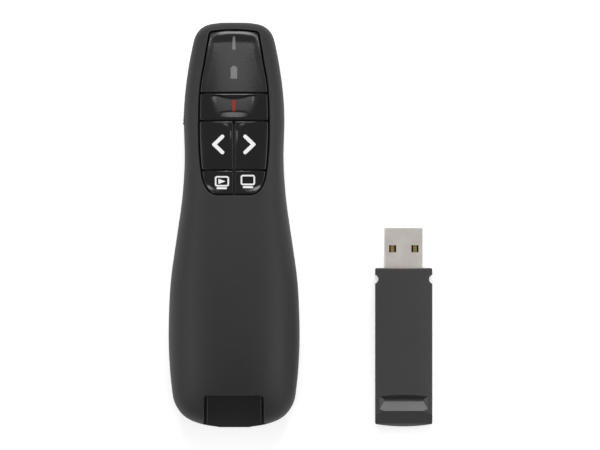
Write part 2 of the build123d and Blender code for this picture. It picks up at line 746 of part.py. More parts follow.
bridge = contact_plate(-plate_half, plate_half, tail_plate_y)
bridge += rod(cell_x, cell_height, tail_plate_y + contact_sheet, cell_tail_y - 0.02, 4.2)
save(bridge, "bridge_contact")
positive = contact_plate(-plate_half, -0.8, front_plate_y)
positive += rod(-cell_x, cell_height, cell_front_y + 0.02, front_plate_y, 4.2)
positive += block(-cell_x - 1, -cell_x + 1, front_plate_y, front_plate_y + contact_sheet, plate_z_low,
                  parting_height + 0.6)
save(positive, "positive_contact")
negative = contact_plate(0.8, plate_half, front_plate_y)
negative += block(cell_x - 1, cell_x + 1, front_plate_y, front_plate_y + contact_sheet, plate_z_low,
                  parting_height + 0.6)
save(negative, "negative_contact")


def contact_spring(x, y_plate, direction):
    """Coil between a contact plate and the flat end of a cell."""
    rise = spring_length - spring_wire - 0.06
    path = Helix(rise / spring_turns, rise, spring_radius)
    profile = Plane(origin=path @ 0, z_dir=path % 0) * RegularPolygon(spring_wire / 2, 12)
    coil = sweep(profile, path=path, is_frenet=True)
    turn = Rot(-90, 0, 0) if direction > 0 else Rot(90, 0, 0)
    return Pos(x, y_plate + direction * (spring_wire / 2 + 0.03), cell_height) * turn * coil


springs = [
    contact_spring(-cell_x, tail_plate_y + contact_sheet, 1),
    contact_spring(cell_x, front_plate_y, -1),
]
save(Compound(children=springs), "contact_springs")


# ---------------------------------------------------------------- case screws
def case_screw(x, y):
    """Pan-head screw driven up from the underside."""
    head = post(x, y, screw_seat - screw_head_height, screw_seat - 0.02, screw_head_diameter)
    head = fillet(head.faces().sort_by(Axis.Z)[0].edges(), 0.5)
    shank = post(x, y, screw_seat - 0.1, screw_seat + screw_length, screw_diameter)
    shank = chamfer(shank.faces().sort_by(Axis.Z)[-1].edges(), 0.4)
    for turned in (0, 90):
        slot = Box(2.0, 0.5, 1.2)
        head -= Pos(x, y, screw_seat - screw_head_height) * Rot(0, 0, turned) * slot
    return head + shank


save(Compound(children=[case_screw(x, y) for x, y in SCREW_PLACES]), "case_screws")

# ---------------------------------------------------------------- receiver
receiver_x = receiver_offset
receiver_tail = tail_y + 0.05
receiver_nose = receiver_tail + receiver_length
receiver_half = receiver_width / 2
split_z = receiver_thickness / 2
pocket_y = receiver_tail + pocket_start
crest_y = receiver_tail + crest_start
pocket_floor = receiver_thickness - pocket_depth


def receiver_plan(inset=0.0):
    """Plan of the receiver body: straight sides, a bowed tail end and two round side notches."""
    half = receiver_half - inset
    low = receiver_tail + inset
    high = receiver_nose - inset
    corner_y = low + receiver_bow
    outline = [
        Line((-half, corner_y), (-half, high)),
        Line((-half, high), (half, high)),
        Line((half, high), (half, corner_y)),
        ThreePointArc((half, corner_y), (0, low), (-half, corner_y)),
    ]
    plan = fillet(make_face(outline).vertices(), receiver_corner)
    for side in (-1, 1):
        notch = Circle(notch_radius + inset)
        plan -= Pos(side * (receiver_half + 0.4), receiver_nose - notch_back) * notch
    return Pos(receiver_x, 0) * plan


def under_crown(inset=0.0):
    """Everything under the receiver's top, which is an arch from side to side."""
    radius = (receiver_half**2 + receiver_crown**2) / (2 * receiver_crown)
    return rod(receiver_x, receiver_thickness - inset - radius, -far, far, 2 * radius)


def build_pocket():
    """Thumb pocket: a steep front wall, drafted sides and a floor that climbs to the crest."""
    rim_z = receiver_thickness + 1
    profile = [(pocket_y + 0.8, rim_z), (pocket_y, receiver_thickness), (pocket_y - 1.6, pocket_floor),
               (crest_y + 0.3, crest_height), (crest_y + 0.3, rim_z)]
    pocket = side_cut(profile, receiver_width, receiver_x)
    pocket = fillet(pocket.edges().filter_by(Axis.X).sort_by(Axis.Z)[0], 0.8)
    draft = 1.45
    rim_half = pocket_half_width + draft * (rim_z - pocket_floor)
    corners = [(-pocket_half_width, pocket_floor), (pocket_half_width, pocket_floor),
               (rim_half, rim_z), (-rim_half, rim_z)]
    ends = Face(Wire.make_polygon([(receiver_x + x, crest_y, z) for x, z in corners], close=True))
    return pocket & extrude(ends, amount=pocket_start, dir=(0, 1, 0))


tail_slope = side_cut([(receiver_tail - 1, 2.6), (receiver_tail, 3.4), (receiver_tail + 0.9, 4.7),
                       (crest_y - 0.5, crest_height - 0.25), (crest_y + 0.3, crest_height),
                       (pocket_y, receiver_thickness), (pocket_y, far), (receiver_tail - 1, far)],
                      receiver_width, receiver_x)
receiver_form = single(upright(receiver_plan(), 0, receiver_thickness) & under_crown())
top_edges = receiver_form.faces().sort_by(Axis.Z)[-1].outer_wire().edges()
receiver_form = fillet(top_edges, receiver_edge_round)
bottom_edges = receiver_form.faces().sort_by(Axis.Z)[0].outer_wire().edges()
receiver_form = fillet(bottom_edges, receiver_edge_round)
receiver_form -= tail_slope
receiver_form -= build_pocket()
hollow = upright(receiver_plan(receiver_wall), receiver_wall, receiver_thickness)
hollow &= under_crown(receiver_wall)
hollow -= block(receiver_x - far, receiver_x + far, receiver_tail - 1, pocket_y + receiver_wall,
                split_z - 0.1, far)
plug_half = plug_width / 2
plug_z_low = split_z - plug_thickness / 2
plug_z_high = split_z + plug_thickness / 2
shell_back = receiver_nose - 3.5
shell_front = receiver_nose + plug_length
tongue_back = shell_back - 1.5
plug_mouth = block(receiver_x - plug_half - 0.02, receiver_x + plug_half + 0.02, tongue_back - 0.02,
                   receiver_nose + 1, plug_z_low - 0.02, plug_z_high + 0.02)
receiver_skin = receiver_form - hollow - plug_mouth
seam = 0.03
upper_zone = block(receiver_x - far, receiver_x + far, tail_y - 1, far, split_z + seam / 2, far)
lower_zone = block(receiver_x - far, receiver_x + far, tail_y - 1, far, -1, split_z - seam / 2)
save(single(receiver_skin & upper_zone), "receiver_upper_shell")
save(single(receiver_skin & lower_zone), "receiver_lower_shell")

plug_form = block(receiver_x - plug_half, receiver_x + plug_half, shell_back, shell_front, plug_z_low,
                  plug_z_high)
plug_form = fillet(plug_form.edges().filter_by(Axis.Y), 0.35)
bore_half = plug_half - plug_sheet
usb_shell = plug_form - block(receiver_x - bore_half, receiver_x + bore_half, shell_back - 1,
                              shell_front + 1, plug_z_low + plug_sheet, plug_z_high - plug_sheet)
hole_y = shell_front - latch_hole_back
hole_half = latch_hole / 2
for side in (-1, 1):
    hole_x = receiver_x + side * latch_hole_pitch / 2
    usb_shell -= block(hole_x - hole_half, hole_x + hole_half, hole_y - hole_half, hole_y + hole_half, -1,
                       receiver_thickness + 1)
save(usb_shell, "usb_shell")

tongue_z_low = plug_z_low + plug_sheet + 0.02
tongue_z_high = split_z + 0.1
tongue_half = bore_half - 0.05
tongue = block(receiver_x - tongue_half, receiver_x + tongue_half, tongue_back, shell_front - 0.4,
               tongue_z_low, tongue_z_high)
CONTACT_X = [-3.5, -1.0, 1.0, 3.5]
contacts = []
for i, x in enumerate(CONTACT_X):
    front = shell_front - (1.3 if i in (0, 3) else 2.3)
    slot = block(receiver_x + x - 0.62, receiver_x + x + 0.62, shell_back - 2, front + 0.1,
                 tongue_z_high - 0.25, tongue_z_high + 1)
    tongue -= slot
    contacts.append(block(receiver_x + x - 0.55, receiver_x + x + 0.55, shell_back - 3.2, front,
                          tongue_z_high - 0.25, tongue_z_high - 0.02))
save(tongue, "usb_tongue")
save(Compound(children=contacts), "usb_contacts")

board_z_high = tongue_z_high - 0.27
receiver_board = block(receiver_x - receiver_half + 1.6, receiver_x + receiver_half - 1.6, pocket_y + 3.0,
                       shell_back - 1.6, board_z_high - 0.8, board_z_high)
save(receiver_board, "receiver_board")
mid_y = (pocket_y + shell_back) / 2
receiver_chips = [
    block(receiver_x - 2.5, receiver_x + 2.5, mid_y, mid_y + 5.0, board_z_high, board_z_high + 0.9),
    block(receiver_x + 2.0, receiver_x + 5.2, mid_y - 7.0, mid_y - 4.5, board_z_high, board_z_high + 0.8),
]
save(Compound(children=receiver_chips), "receiver_chips")
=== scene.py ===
import math
import bpy
import bmesh
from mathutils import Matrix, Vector, kdtree
from mathutils.bvhtree import BVHTree


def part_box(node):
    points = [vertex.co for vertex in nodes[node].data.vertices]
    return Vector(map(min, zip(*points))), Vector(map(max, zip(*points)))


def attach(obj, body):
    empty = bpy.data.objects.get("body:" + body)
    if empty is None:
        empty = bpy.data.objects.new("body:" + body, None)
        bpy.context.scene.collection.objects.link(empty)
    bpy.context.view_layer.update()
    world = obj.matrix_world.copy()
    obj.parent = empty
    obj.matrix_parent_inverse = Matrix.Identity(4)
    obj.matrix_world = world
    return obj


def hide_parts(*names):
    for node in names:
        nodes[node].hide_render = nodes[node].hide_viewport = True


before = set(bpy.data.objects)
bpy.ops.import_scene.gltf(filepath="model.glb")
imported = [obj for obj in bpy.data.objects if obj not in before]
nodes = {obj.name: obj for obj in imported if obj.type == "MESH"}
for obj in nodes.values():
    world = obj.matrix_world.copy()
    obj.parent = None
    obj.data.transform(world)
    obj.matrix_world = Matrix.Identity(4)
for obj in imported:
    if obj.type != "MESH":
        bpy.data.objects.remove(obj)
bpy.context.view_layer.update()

# ---------------------------------------------------------------- table top, camera and lamps
# The handset and its receiver lie on a pale table under three soft boxes: a wide one past the nose
# and one low on each side.  The camera hangs straight above.
table_bm = bmesh.new()
bmesh.ops.create_grid(table_bm, x_segments=1, y_segments=1, size=3.0)
table_mesh = bpy.data.meshes.new("table_top")
table_bm.to_mesh(table_mesh)
table_bm.free()
table = bpy.data.objects.new("table_top", table_mesh)
bpy.context.scene.collection.objects.link(table)


def new_finish(name):
    """Material with its node tree, its Principled shader and its output."""
    material = bpy.data.materials.new(name)
    material.use_nodes = True
    tree = material.node_tree
    return material, tree, tree.nodes["Principled BSDF"]


def see_rays(tree):
    """Value that is 1 for rays from the camera or a clear piece, and lower for mirrored rays."""
    path = tree.nodes.new("ShaderNodeLightPath")
    dimmed = tree.nodes.new("ShaderNodeMath")
    dimmed.operation = "MULTIPLY"
    dimmed.inputs[1].default_value = 0.35
    tree.links.new(path.outputs["Is Glossy Ray"], dimmed.inputs[0])
    first = tree.nodes.new("ShaderNodeMath")
    first.operation = "MAXIMUM"
    tree.links.new(path.outputs["Is Camera Ray"], first.inputs[0])
    tree.links.new(dimmed.outputs[0], first.inputs[1])
    both = tree.nodes.new("ShaderNodeMath")
    both.operation = "MAXIMUM"
    tree.links.new(first.outputs[0], both.inputs[0])
    tree.links.new(path.outputs["Is Transmission Ray"], both.inputs[1])
    return both.outputs[0]


table_paint, tree, shader = new_finish("pale_table")
shader.inputs["Base Color"].default_value = (0.80, 0.80, 0.80, 1)
shader.inputs["Roughness"].default_value = 0.9
shader.inputs["Specular IOR Level"].default_value = 0.0
shader.inputs["Emission Color"].default_value = (1, 1, 1, 1)
seen = tree.nodes.new("ShaderNodeMath")
seen.operation = "MULTIPLY"
seen.inputs[1].default_value = 0.55
tree.links.new(see_rays(tree), seen.inputs[0])
tree.links.new(seen.outputs[0], shader.inputs["Emission Strength"])
table_mesh.materials.append(table_paint)

world = bpy.data.worlds.new("studio")
bpy.context.scene.world = world
world.use_nodes = True
tree = world.node_tree
room = tree.nodes["Background"]
room.inputs["Color"].default_value = (1, 1, 1, 1)
path = tree.nodes.new("ShaderNodeLightPath")
strength = tree.nodes.new("ShaderNodeMapRange")
strength.inputs["To Min"].default_value = 0.30
strength.inputs["To Max"].default_value = 1.0
tree.links.new(path.outputs["Is Camera Ray"], strength.inputs["Value"])
tree.links.new(strength.outputs["Result"], room.inputs["Strength"])


def soft_box(name, place, aim, width, height, power):
    lamp = bpy.data.lights.new(name, "AREA")
    lamp.shape = "RECTANGLE"
    lamp.size = width
    lamp.size_y = height
    lamp.energy = power
    holder = bpy.data.objects.new(name, lamp)
    holder.location = place
    holder.rotation_euler = (Vector(aim) - Vector(place)).to_track_quat("-Z", "Y").to_euler()
    bpy.context.scene.collection.objects.link(holder)


soft_box("nose_soft_box", (0.02, 0.62, 0.62), (0.02, 0, 0.01), 0.50, 0.45, 4.6)
soft_box("left_soft_box", (-0.62, -0.12, 0.43), (0.0, -0.02, 0.01), 0.8, 0.30, 1.75)
soft_box("right_soft_box", (0.66, -0.12, 0.43), (0.02, -0.02, 0.01), 0.8, 0.30, 2.0)

camera_data = bpy.data.cameras.new("overhead")
camera_data.lens = 463.76
camera_data.sensor_width = 36.0
camera_data.clip_start = 0.05
camera = bpy.data.objects.new("overhead", camera_data)
camera.location = (0.02035, 0.0, 2.40)
bpy.context.scene.collection.objects.link(camera)
bpy.context.scene.camera = camera
bpy.context.scene.view_settings.view_transform = "Standard"

# ---------------------------------------------------------------- soft-touch casing
# The two casing halves and the battery door are moulded ABS under a black rubbery paint, which
# shows a very fine grain and goes slightly glossier where hands rub it.


def build_grain_group():
    """Node group of fine grain and handling marks: a shade factor, a roughness and a normal."""
    group = bpy.data.node_groups.new("moulded_grain", "ShaderNodeTree")
    face = group.interface
    settings = (("Grain Scale", 5000.0), ("Depth", 0.2), ("Roughness", 0.5), ("Rub", 0.05),
                ("Mottle", 0.05))
    for label, value in settings:
        socket = face.new_socket(label, in_out="INPUT", socket_type="NodeSocketFloat")
        socket.default_value = value
    face.new_socket("Shade", in_out="OUTPUT", socket_type="NodeSocketFloat")
    face.new_socket("Roughness", in_out="OUTPUT", socket_type="NodeSocketFloat")
    face.new_socket("Normal", in_out="OUTPUT", socket_type="NodeSocketVector")
    given = group.nodes.new("NodeGroupInput")
    put = group.nodes.new("NodeGroupOutput")
    where = group.nodes.new("ShaderNodeTexCoord")
    grain = group.nodes.new("ShaderNodeTexNoise")
    grain.inputs["Detail"].default_value = 3.0
    group.links.new(where.outputs["Object"], grain.inputs["Vector"])
    group.links.new(given.outputs["Grain Scale"], grain.inputs["Scale"])
    bump = group.nodes.new("ShaderNodeBump")
    bump.inputs["Distance"].default_value = 0.00004
    group.links.new(grain.outputs["Fac"], bump.inputs["Height"])
    group.links.new(given.outputs["Depth"], bump.inputs["Strength"])
    group.links.new(bump.outputs["Normal"], put.inputs["Normal"])
    rub = group.nodes.new("ShaderNodeTexNoise")
    rub.inputs["Scale"].default_value = 90.0
    rub.inputs["Detail"].default_value = 5.0
    rub.inputs["Roughness"].default_value = 0.65
    group.links.new(where.outputs["Object"], rub.inputs["Vector"])
    centred = group.nodes.new("ShaderNodeMath")
    centred.operation = "SUBTRACT"
    centred.inputs[1].default_value = 0.5
    group.links.new(rub.outputs["Fac"], centred.inputs[0])
    worn = group.nodes.new("ShaderNodeMath")
    worn.operation = "MULTIPLY_ADD"
    group.links.new(centred.outputs[0], worn.inputs[0])
    group.links.new(given.outputs["Rub"], worn.inputs[1])
    group.links.new(given.outputs["Roughness"], worn.inputs[2])
    group.links.new(worn.outputs[0], put.inputs["Roughness"])
    shade = group.nodes.new("ShaderNodeMath")
    shade.operation = "MULTIPLY_ADD"
    shade.inputs[2].default_value = 1.0
    group.links.new(centred.outputs[0], shade.inputs[0])
    group.links.new(given.outputs["Mottle"], shade.inputs[1])
    group.links.new(shade.outputs[0], put.inputs["Shade"])
    return group


grain_group = build_grain_group()


def moulded(name, colour, roughness, grain_scale, depth, rub=0.1, mottle=0.1):
    """Plastic or paint of one colour with the moulded grain in its gloss, shade and surface."""
    material, tree, shader = new_finish(name)
    grain = tree.nodes.new("ShaderNodeGroup")
    grain.node_tree = grain_group
    grain.inputs["Grain Scale"].default_value = grain_scale
    grain.inputs["Depth"].default_value = depth
    grain.inputs["Roughness"].default_value = roughness
    grain.inputs["Rub"].default_value = rub
    grain.inputs["Mottle"].default_value = mottle
    tint = tree.nodes.new("ShaderNodeVectorMath")
    tint.operation = "SCALE"
    tint.inputs[0].default_value = colour
    tree.links.new(grain.outputs["Shade"], tint.inputs["Scale"])
    tree.links.new(tint.outputs["Vector"], shader.inputs["Base Color"])
    tree.links.new(grain.outputs["Roughness"], shader.inputs["Roughness"])
    tree.links.new(grain.outputs["Normal"], shader.inputs["Normal"])
    return material, tree, shader


def finish_nodes(material, *names):
    for name in names:
        for slot in nodes[name].material_slots:
            slot.material = material


soft_touch, _, shader = moulded("soft_touch_black", (0.018, 0.018, 0.0184), 0.52, 4200.0, 0.30,
                                rub=0.12, mottle=0.25)
shader.inputs["Specular IOR Level"].default_value = 0.42
finish_nodes(soft_touch, "top_shell", "bottom_shell", "battery_door")

# ---------------------------------------------------------------- smoked window panel
# A glossy smoked panel fills the nose end of the key window.  It is moulded with a scoop that is
# deepest behind its raised front rim and runs out towards the laser key.

# height of the casing's crown: distance along Y, height, fall at 9 mm from the centre, sharpness
CROWN = [
    (9.2, 24.48, 1.43, 0.16), (18.0, 23.75, 1.40, 0.17), (28.0, 22.93, 1.24, 0.18),
    (36.0, 22.19, 1.13, 0.19), (44.0, 21.34, 1.17, 0.21), (51.0, 20.45, 1.30, 0.24),
    (55.0, 19.76, 1.43, 0.27), (58.0, 18.93, 1.58, 0.31), (59.2, 18.41, 1.78, 0.36),
    (59.9, 18.01, 1.99, 0.41), (60.3, 17.75, 2.17, 0.45),
]


CROWN_HALF = 9.0
MM = 1000


def crown(x, y):
    """Height of the key tops before any hollow, in millimetres, on one smooth curve along Y."""
    last = len(CROWN) - 1
    k = max(i for i in range(last) if i == 0 or CROWN[i][0] <= y)
    low, high = CROWN[k], CROWN[k + 1]
    before, after = CROWN[max(k - 1, 0)], CROWN[min(k + 2, last)]
    span = high[0] - low[0]
    t = (y - low[0]) / span
    values = []
    for j in (1, 2, 3):
        slope_low = (high[j] - before[j]) / (high[0] - before[0]) * span
        slope_high = (after[j] - low[j]) / (after[0] - low[0]) * span
        values.append((2 * t**3 - 3 * t**2 + 1) * low[j] + (t**3 - 2 * t**2 + t) * slope_low
                      + (3 * t**2 - 2 * t**3) * high[j] + (t**3 - t**2) * slope_high)
    height, fall, sharp = values
    across = (x / CROWN_HALF) ** 2
    return height - fall * ((1 - sharp) * across + sharp * across**2)


def ease(t):
    """Smooth step from 0 to 1."""
    t = min(max(t, 0.0), 1.0)
    return t * t * (3 - 2 * t)


def rounded(distance, radius):
    """Drop of a rounded edge at a distance inside the outline."""
    inside = min(max(distance, 0.0), radius)
    return radius - math.sqrt(radius**2 - (radius - inside) ** 2)


def cap_outline(node, rows):
    """Left and right ends of each row of a key cap, read off the CAD piece that it stands for."""
    mesh = nodes[node].data
    tree = BVHTree.FromPolygons([v.co for v in mesh.vertices], [p.vertices for p in mesh.polygons])
    low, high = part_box(node)
    outside, mid_depth, shrink, tries = 0.03, 0.8, 0.8, 4
    ends = []
    for y in rows:
        pair = []
        for x, start in ((low.x, -outside), (high.x, outside)):
            inward = Vector((-start, 0, 0)).normalized()
            for _ in range(tries):
                height = (crown(x * MM, y) - mid_depth) / MM
                hit = tree.ray_cast(Vector((start, y / MM, height)), inward)[0]
                x = hit.x if hit else x * shrink
            pair.append(x * MM)
        ends.append(pair)
    return ends


def piece_from(bm, name, material, body):
    """Object at the origin from a bmesh in millimetres, riding on its body."""
    bmesh.ops.scale(bm, vec=(0.001, 0.001, 0.001), verts=bm.verts)
    mesh = bpy.data.meshes.new(name)
    bm.to_mesh(mesh)
    bm.free()
    mesh.materials.append(material)
    piece = bpy.data.objects.new(name, mesh)
    bpy.context.scene.collection.objects.link(piece)
    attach(piece, body)
    return piece


def spread(share):
    """Place in a row, from 0 to 1, with closer steps near both ends."""
    return 0.5 - 0.5 * math.cos(math.pi * share)


def key_cap(name, node, relief, thickness, rows, columns, material, body, nib=None):
    """Cap drawn to the outline of its CAD piece, whose top is the crown less a relief."""
    low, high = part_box(node)
    end_gap, sharp_angle = 0.012, math.radians(40)
    y_low, y_high = low.y * MM + end_gap, high.y * MM - end_gap
    row_places = [y_low + (y_high - y_low) * spread(j / rows) for j in range(rows + 1)]
    ends = cap_outline(node, row_places)
    border = kdtree.KDTree(2 * (rows + 1) + 2 * (columns + 1))
    spots = [(x, y) for pair, y in zip(ends, row_places) for x in pair]
    for pair, y in ((ends[0], row_places[0]), (ends[-1], row_places[-1])):
        spots += [(pair[0] + (pair[1] - pair[0]) * spread(i / columns), y) for i in range(columns + 1)]
    for i, (x, y) in enumerate(spots):
        border.insert((x, y, 0), i)
    border.balance()
    bm = bmesh.new()
    bmesh.ops.create_grid(bm, x_segments=columns, y_segments=rows, size=0.5)
    for v in bm.verts:
        j = round((v.co.y + 0.5) * rows)
        left, right = ends[j]
        x = left + (right - left) * spread(v.co.x + 0.5)
        y = row_places[j]
        inside = border.find((x, y, 0))[2]
        v.co = (x, y, crown(x, y) - relief(x, y, inside))
    top = list(bm.verts)
    shell = bmesh.ops.extrude_face_region(bm, geom=bm.faces[:])
    raised = {v for v in shell["geom"] if isinstance(v, bmesh.types.BMVert)}
    for v in top:
        if v not in raised:
            v.co.z = crown(v.co.x, v.co.y) - thickness
    bmesh.ops.recalc_face_normals(bm, faces=bm.faces)
    if nib:
        nib_x, nib_y, nib_low = nib
        nib_radius, sunk = 1.1, 0.2
        nib_high = crown(nib_x, nib_y) - thickness + sunk
        peg = bmesh.ops.create_cone(bm, cap_ends=True, segments=32, radius1=nib_radius,
                                    radius2=nib_radius, depth=nib_high - nib_low)
        bmesh.ops.translate(bm, vec=(nib_x, nib_y, (nib_low + nib_high) / 2), verts=peg["verts"])
    for face in bm.faces:
        face.smooth = True
    for edge in bm.edges:
        if len(edge.link_faces) == 2 and edge.calc_face_angle() > sharp_angle:
            edge.smooth = False
    cap = piece_from(bm, name, material, body)
    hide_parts(node)


def panel_relief(x, y, inside=9.0):
    """Scoop: a steep wall behind the front rim, a sloping floor and sides that climb to thin beads."""
    arch = 59.95 - 0.0125 * x * x
    half = 7.85 + (58.4 - y) * 0.145
    floor_depth = crown(0, y) - (21.32 - 0.195 * (y - 41.3))
    wall = ease((arch - y) / 3.6)
    room = half - abs(x)
    sides = 0.6 * ease(room / 2.6) + 0.4 * ease(room / (0.85 * half))
    return rounded(inside, 0.2) + max(floor_depth, 0.0) * wall * sides


smoked, _, shader = moulded("smoked_window", (0.007, 0.007, 0.0073), 0.27, 2500.0, 0.02, rub=0.08,
                            mottle=0.1)
shader.inputs["Coat Weight"].default_value = 0.3
shader.inputs["Coat Roughness"].default_value = 0.12
key_cap("window_panel", "front_panel", panel_relief, 1.75, 96, 72, smoked, "handset")


def lay_mark(name, outline, bevels, relief, material, body, stroke=None, thickness=0.05):
    """Thin print on a cap, from an outline with rounded corners; a stroke leaves it open inside."""
    longest_edge = 0.45
    bm = bmesh.new()
    corners = [bm.verts.new((x, y, 0)) for x, y in outline]
    bm.faces.new(corners)
    for radius in sorted(set(bevels)):
        if radius:
            chosen = [v for v, r in zip(corners, bevels) if r == radius]
            bmesh.ops.bevel(bm, geom=chosen, offset=radius, offset_type="OFFSET", affect="VERTICES",
                            segments=6, profile=0.5, material=-1)
    if stroke:
        inset = bmesh.ops.inset_region(bm, faces=bm.faces[:], thickness=stroke, use_boundary=True,
                                       use_even_offset=True)
        ring = set(inset["faces"])
        bmesh.ops.delete(bm, geom=[f for f in bm.faces if f not in ring], context="FACES")
    bmesh.ops.triangulate(bm, faces=bm.faces[:])
    for _ in range(4):
        long_edges = [e for e in bm.edges if e.calc_length() > longest_edge]
        if not long_edges:
            break
        bmesh.ops.subdivide_edges(bm, edges=long_edges, cuts=1)
        bmesh.ops.triangulate(bm, faces=bm.faces[:])
    if sum(f.normal.z for f in bm.faces) < 0:
        bmesh.ops.reverse_faces(bm, faces=bm.faces[:])
    for v in bm.verts:
        v.co.z = crown(v.co.x, v.co.y) - relief(v.co.x, v.co.y) + thickness / 2
    base = list(bm.verts)
    lifted = bmesh.ops.extrude_face_region(bm, geom=bm.faces[:])
    raised = {v for v in lifted["geom"] if isinstance(v, bmesh.types.BMVert)}
    bmesh.ops.translate(bm, vec=(0, 0, -thickness), verts=[v for v in base if v not in raised])
    bmesh.ops.recalc_face_normals(bm, faces=bm.faces[:])
    piece_from(bm, name, material, body)


silver_print, _, _ = moulded("silver_print", (0.155, 0.155, 0.158), 0.5, 6000.0, 0.15)
window_line = [(-0.55, 54.05), (0.55, 54.05), (0.36, 58.1), (-0.36, 58.1)]
battery_shape = [(-1.0, 45.05), (1.0, 45.05), (1.0, 48.6), (0.6, 48.6), (0.6, 49.0), (-0.6, 49.0),
                 (-0.6, 48.6), (-1.0, 48.6)]
lay_mark("window_line", window_line, [0.25, 0.25, 0.2, 0.2], panel_relief, silver_print,
         "handset")
lay_mark("battery_mark", battery_shape, [0.15, 0.15, 0.1, 0, 0.1, 0.1, 0, 0.1], panel_relief,
         silver_print, "handset")

# ---------------------------------------------------------------- laser key
# The wide key above the two large ones fires the laser.  It is gloss ABS with a funnel-shaped
# hollow that guides the thumb to a raised lens-shaped lip, and a red line printed on it.
gloss_black, _, _ = moulded("gloss_black", (0.0065, 0.0065, 0.007), 0.15, 3000.0, 0.02, rub=0.10,
                            mottle=0.2)
key_thickness = 1.6
nib_bottom = 20.0
laser_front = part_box("laser_key")[1].y * MM
funnel_half, funnel_flare, funnel_y = 7.6, 0.22, 39.55
funnel_start, funnel_depth, funnel_slope = 34.2, 0.06, 0.13
bank_y = 40.15
lip_y, lip_half, lip_depth = 33.95, 4.4, 0.27


def laser_relief(x, y, inside=9.0):
    """Funnel whose floor falls towards the nose, and behind it a lens-shaped lip in a recess."""
    half = funnel_half + funnel_flare * (y - funnel_y)
    middle = max(0.0, 1 - (x / 4.6) ** 2)
    front = bank_y - 0.25 * middle
    floor_depth = funnel_depth + funnel_slope * max(y - funnel_start, 0.0)
    depth = floor_depth * (1 - 0.9 * min(abs(x) / half, 1.0) ** 6)
    sides = ease((half + 1.3 - abs(x)) / 3.3)
    bank = ease((front - y) / (0.5 + 0.7 * middle))
    funnel = depth * sides * bank * ease((y - 33.0) / 0.6)
    funnel += (0.065 + 0.09 * (x / 7.0) ** 2) * ease(1 - (laser_front - y) / 0.5)
    edge = rounded(inside, 0.28)
    swell = max(0.0, 1 - (x / lip_half) ** 2) ** 0.35
    if swell == 0.0:
        return edge + funnel
    along = (y - lip_y) / (0.2 + 0.66 * swell)
    ramp = min(max((along + 1) / 2, 0.0), 1.0)
    closing = ease((1.5 - along) / 0.45)
    recess = lip_depth * swell * ramp * closing
    shelter = closing if along > 0 else 1.0
    return edge + funnel * (1 - shelter * ease(swell * 2)) + recess


key_cap("laser_key_cap", "laser_key", laser_relief, key_thickness, 84, 120, gloss_black,
        "laser_key", nib=(0.0, 36.4, nib_bottom))
red_print, _, shader = moulded("red_print", (0.24, 0.020, 0.010), 0.45, 6000.0, 0.1)
shader.inputs["Specular IOR Level"].default_value = 0.15
laser_line = [(-0.4, 34.95), (0.4, 34.95), (0.55, 38.6), (-0.55, 38.6)]
lay_mark("laser_line", laser_line, [0.2, 0.2, 0.25, 0.25], laser_relief, red_print,
         "laser_key")

# ---------------------------------------------------------------- back and next keys
# Two large gloss keys change the slide.  Their inner edges roll down into the centre split, most
# at the nose end, and each has a white chevron printed on it.
main_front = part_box("back_key")[1].y * MM
split_half = 0.275


def main_relief(x, y, inside=9.0):
    """Rounded edges, and a roll that sweeps round the inner corner at the nose end."""
    sweep, roll_depth, roll_width = 3.2, 0.52, 1.5
    across, along = abs(x) - split_half, main_front - y
    edge = min(across, along)
    if across < sweep and along < sweep:
        edge = sweep - math.hypot(sweep - across, sweep - along)
    strength = (0.5 + 0.5 * ease((along - 1.0) / 2.5)) * (1 - 0.45 * ease((along - 3.0) / 9.0))
    roll = roll_depth * strength * ease(1 - across / 6.5) * ease(1 - edge / roll_width)
    return rounded(inside, 0.26) + roll


white_print, _, _ = moulded("white_print", (0.86, 0.86, 0.86), 0.5, 6000.0, 0.1)
half_stroke = 0.575
inner_x, tip_x = 3.50, 6.05
high, low, middle = 27.22, 22.34, 24.78
run, rise = tip_x - inner_x, high - middle
length = math.hypot(run, rise)
off_x, off_y = half_stroke * rise / length, half_stroke * run / length
end_x, end_y = half_stroke * run / length, half_stroke * rise / length
chevron = [
    (inner_x - end_x + off_x, high + end_y + off_y), (inner_x - end_x - off_x, high + end_y - off_y),
    (tip_x - half_stroke * length / rise, middle), (inner_x - end_x - off_x, low - end_y + off_y),
    (inner_x - end_x + off_x, low - end_y - off_y), (tip_x + half_stroke * length / rise, middle),
]
for side, node in ((-1, "back_key"), (1, "next_key")):
    key_cap(node + "_cap", node, main_relief, key_thickness, 72, 60, gloss_black, node,
            nib=(side * 5.2, 24.5, nib_bottom))
    lay_mark(node + "_chevron", [(side * x, y) for x, y in chevron], [0.55, 0.55, 0, 0.55, 0.55, 0.4],
             main_relief, white_print, node)

# ---------------------------------------------------------------- slide-show and blank-screen keys
# Two corner keys start the show and blank the screen.  Each is dished for a finger tip, with a
# lip along its outer back edge, and has a white screen printed on it.


def small_relief(x, y, inside=9.0):
    """Round dish near the outer edge, deepest there, whose back wall makes a crescent."""
    dish_x, dish_y, dish_depth = 5.6, 13.7, 0.40
    beside = abs(x) - dish_x
    away = math.hypot(beside * (0.9 if beside > 0 else 0.55), min(y - dish_y, 0.0))
    depth = dish_depth * (0.3 + 0.7 * ease((abs(x) - 1.2) / 4.0))
    return rounded(inside, 0.26) + depth * ease((3.75 - away) / 1.9) * ease((16.4 - y) / 3.2)


for side, node in ((-1, "slideshow_key"), (1, "blank_screen_key")):
    key_cap(node + "_cap", node, small_relief, key_thickness, 64, 64, gloss_black, node,
            nib=(side * 4.9, 13.47, nib_bottom))


def box_outline(x_low, x_high, y_low, y_high):
    return [(x_low, y_low), (x_high, y_low), (x_high, y_high), (x_low, y_high)]


